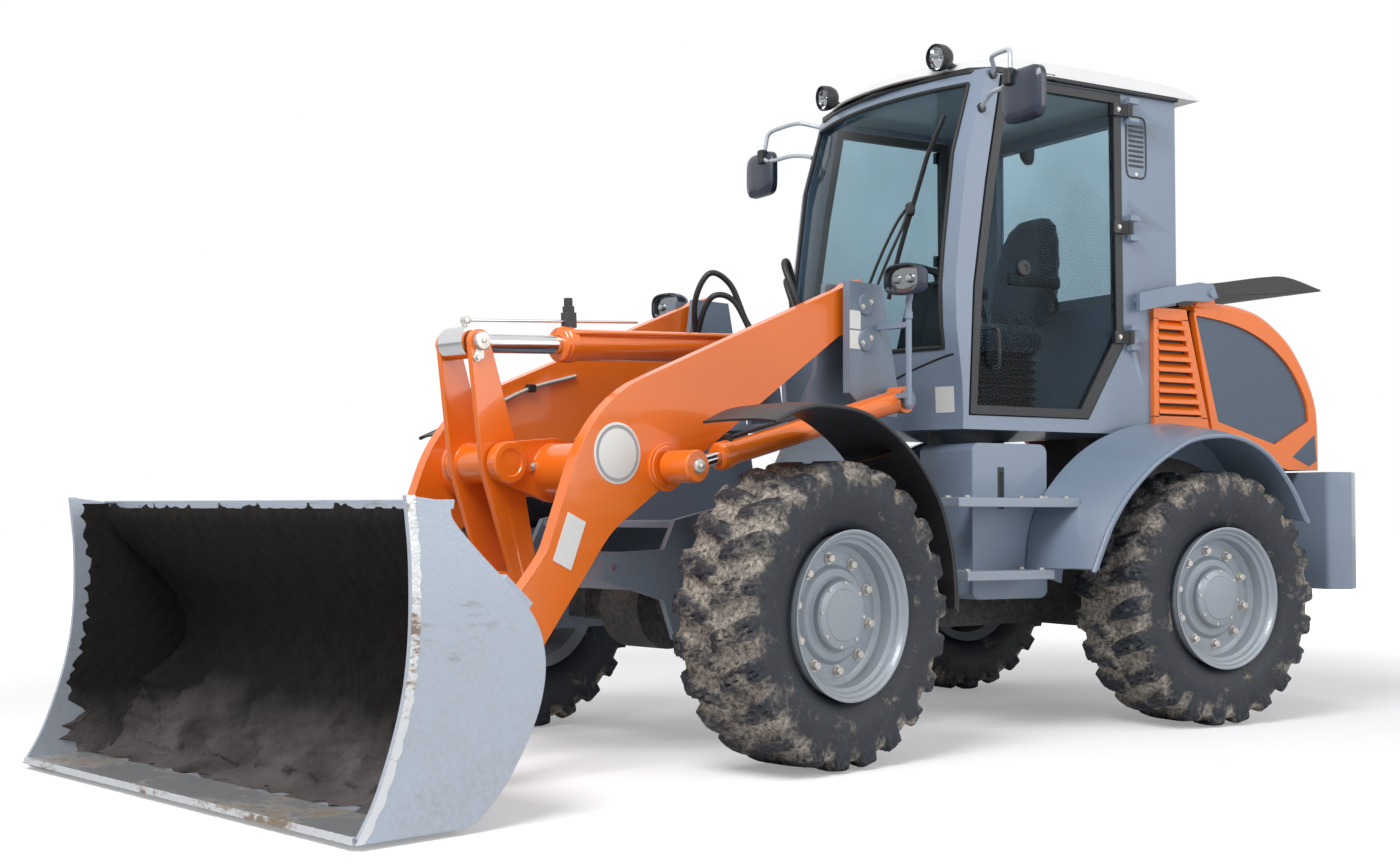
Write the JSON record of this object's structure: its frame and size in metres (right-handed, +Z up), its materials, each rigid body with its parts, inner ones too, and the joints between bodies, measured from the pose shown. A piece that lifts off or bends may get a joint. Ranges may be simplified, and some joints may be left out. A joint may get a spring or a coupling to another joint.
{
  "type": "wheel loader",
  "caption": "Articulated compact wheel loader with a bucket on lift arms, a glazed cab, opening doors and hood, parked with its bucket on the floor.",
  "frame": {"origin": "middle of the footprint of the whole machine, on the floor", "axes": "+X forward along the rear half, +Y to the driver's left, +Z up"},
  "size_m": [6.111, 2.9894, 3.0115],
  "materials": {
    "orange_paint": "gloss",
    "grey_paint": "satin",
    "silver_paint": "satin",
    "black_steel": "satin",
    "bucket_steel": "worn satin",
    "tyre_rubber": "matt",
    "cab_glass": "clear",
    "roof_white": "gloss",
    "black_plastic": "matt",
    "chrome_rod": "polished",
    "lamp_glass": "gloss",
    "seat_fabric": "matt"
  },
  "bodies": {
    "rear_frame": {"rear_chassis": "black_steel", "engine_block": "black_steel", "counterweight": "grey_paint", "rear_axle": "black_steel", "side_tanks": "grey_paint", "steps": "grey_paint", "rear_fenders": "grey_paint", "cab_frame": "grey_paint", "windshield": "cab_glass", "rear_window": "cab_glass", "cab_roof": "roof_white", "seat": "seat_fabric", "steering_console": "black_plastic", "vent_panels": "orange_paint", "hood_hinge_arms": "grey_paint", "mirrors": "black_plastic", "roof_lamps": "lamp_glass"},
    "front_frame": {"front_chassis": "grey_paint", "front_axle": "black_steel", "front_fenders": "black_plastic", "headlights": "lamp_glass"},
    "boom": {"boom_arm_left": "orange_paint", "boom_arm_right": "orange_paint", "boom_cross_tube": "orange_paint"},
    "bellcrank": {"bellcrank": "orange_paint"},
    "tilt_link": {"tilt_link": "orange_paint"},
    "tilt_barrel": {"tilt_barrel": "orange_paint"},
    "tilt_rod": {"tilt_rod": "chrome_rod"},
    "lift_barrels": {"lift_barrels": "orange_paint"},
    "lift_rods": {"lift_rods": "chrome_rod"},
    "bucket": {"bucket": "bucket_steel", "quick_coupler": "bucket_steel"},
    "hood": {"hood_shell": "orange_paint", "hood_scoop": "black_plastic"},
    "door_left": {"door_frame_left": "black_plastic", "door_glass_left": "cab_glass"},
    "door_right": {"door_frame_right": "black_plastic", "door_glass_right": "cab_glass"},
    "wheel_front_left": {"tyre_front_left": "tyre_rubber", "rim_front_left": "silver_paint"},
    "wheel_front_right": {"tyre_front_right": "tyre_rubber", "rim_front_right": "silver_paint"},
    "wheel_rear_left": {"tyre_rear_left": "tyre_rubber", "rim_rear_left": "silver_paint"},
    "wheel_rear_right": {"tyre_rear_right": "tyre_rubber", "rim_rear_right": "silver_paint"},
    "steer_barrel_left": {"steer_barrel_left": "black_steel"},
    "steer_rod_left": {"steer_rod_left": "chrome_rod"},
    "steer_barrel_right": {"steer_barrel_right": "black_steel"},
    "steer_rod_right": {"steer_rod_right": "chrome_rod"}
  },
  "joints": [
    {"name": "articulation", "type": "hinge", "parent": "rear_frame", "child": "front_frame", "pos_m": [-0.45554, -0.36467, 0.7], "axis": [0, 0, 1], "range_deg": [-54.2, 25.8]},
    {"name": "wheel_front_left_spin", "type": "hinge", "parent": "front_frame", "child": "wheel_front_left", "pos_m": [0.54039, 0.79508, 0.56], "axis": [-0.2453, 0.9694, 0], "continuous": true},
    {"name": "wheel_front_right_spin", "type": "hinge", "parent": "front_frame", "child": "wheel_front_right", "pos_m": [0.97213, -0.91114, 0.56], "axis": [-0.2453, 0.9694, 0], "continuous": true},
    {"name": "wheel_rear_left_spin", "type": "hinge", "parent": "rear_frame", "child": "wheel_rear_left", "pos_m": [-1.70555, 0.51533, 0.56], "axis": [0, 1, 0], "continuous": true},
    {"name": "wheel_rear_right_spin", "type": "hinge", "parent": "rear_frame", "child": "wheel_rear_right", "pos_m": [-1.70555, -1.24467, 0.56], "axis": [0, 1, 0], "continuous": true},
    {"name": "boom_lift", "type": "hinge", "parent": "front_frame", "child": "boom", "pos_m": [0.06796, -0.2322, 1.79], "axis": [0.2453, -0.9694, 0], "range_deg": [0, 74]},
    {"name": "bucket_tilt", "type": "hinge", "parent": "boom", "child": "bucket", "pos_m": [1.9099, 0.23388, 0.385], "axis": [0.2453, -0.9694, 0], "range_deg": [-95, 40]},
    {"name": "bellcrank_pivot", "type": "hinge", "parent": "boom", "child": "bellcrank", "pos_m": [1.57835, 0.14999, 1.109], "axis": [0.2453, -0.9694, 0], "range_deg": [-10.23, 24.29]},
    {"name": "tilt_link_pivot", "type": "hinge", "parent": "bucket", "child": "tilt_link", "pos_m": [2.02914, 0.26406, 0.561], "axis": [0.2453, -0.9694, 0], "range_deg": [-29.22, 69.4]},
    {"name": "tilt_barrel_pivot", "type": "hinge", "parent": "front_frame", "child": "tilt_barrel", "pos_m": [0.06796, -0.2322, 1.64], "axis": [0.2453, -0.9694, 0], "range_deg": [0, 72.97]},
    {"name": "tilt_rod_slide", "type": "slide", "parent": "tilt_barrel", "child": "tilt_rod", "axis": [0.968, 0.2449, -0.0547], "range_m": [-0.19021, 0.08014]},
    {"name": "lift_barrels_pivot", "type": "hinge", "parent": "front_frame", "child": "lift_barrels", "pos_m": [-0.06777, -0.26654, 1.398], "axis": [0.2453, -0.9694, 0], "range_deg": [0, 65.07]},
    {"name": "lift_rods_slide", "type": "slide", "parent": "lift_barrels", "child": "lift_rods", "axis": [0.9414, 0.2382, -0.2388], "range_m": [-0.0001, 0.45529]},
    {"name": "steer_barrel_left_pivot", "type": "hinge", "parent": "rear_frame", "child": "steer_barrel_left", "pos_m": [-0.88555, -0.21467, 0.7], "axis": [0, 0, 1], "range_deg": [-16.95, 8.07]},
    {"name": "steer_rod_left_slide", "type": "slide", "parent": "steer_barrel_left", "child": "steer_rod_left", "axis": [0.9784, 0.2069, 0], "range_m": [-0.09073, 0.19048]},
    {"name": "steer_barrel_right_pivot", "type": "hinge", "parent": "rear_frame", "child": "steer_barrel_right", "pos_m": [-0.88555, -0.51467, 0.7], "axis": [0, 0, 1], "range_deg": [-15.97, 7.6]},
    {"name": "steer_rod_right_slide", "type": "slide", "parent": "steer_barrel_right", "child": "steer_rod_right", "axis": [0.9984, -0.0572, 0], "range_m": [-0.20399, 0.09716]},
    {"name": "door_left_hinge", "type": "hinge", "parent": "rear_frame", "child": "door_left", "pos_m": [-1.54554, 0.29733, 2.234], "axis": [0, 0, 1], "range_deg": [0, 95]},
    {"name": "door_right_hinge", "type": "hinge", "parent": "rear_frame", "child": "door_right", "pos_m": [-1.54554, -1.02667, 2.234], "axis": [0, 0, -1], "range_deg": [0, 95]},
    {"name": "hood_hinge", "type": "hinge", "parent": "rear_frame", "child": "hood", "pos_m": [-2.03055, -0.36467, 1.962], "axis": [0, 1, 0], "range_deg": [0, 50]}
  ],
  "couplings": [
    {"joint": "bellcrank_pivot", "follows": "bucket_tilt", "ratio": -0.25065},
    {"joint": "tilt_link_pivot", "follows": "bucket_tilt", "ratio": -0.71624},
    {"joint": "tilt_barrel_pivot", "follows": "boom_lift", "ratio": 0.96676},
    {"joint": "tilt_rod_slide", "follows": "bucket_tilt", "m_per_rad": 0.11241},
    {"joint": "lift_barrels_pivot", "follows": "boom_lift", "ratio": 0.86203},
    {"joint": "lift_rods_slide", "follows": "boom_lift", "m_per_rad": 0.34553},
    {"joint": "steer_barrel_left_pivot", "follows": "articulation", "ratio": 0.30656},
    {"joint": "steer_rod_left_slide", "follows": "articulation", "m_per_rad": -0.19731},
    {"joint": "steer_barrel_right_pivot", "follows": "articulation", "ratio": 0.28894},
    {"joint": "steer_rod_right_slide", "follows": "articulation", "m_per_rad": 0.21131}
  ]
}
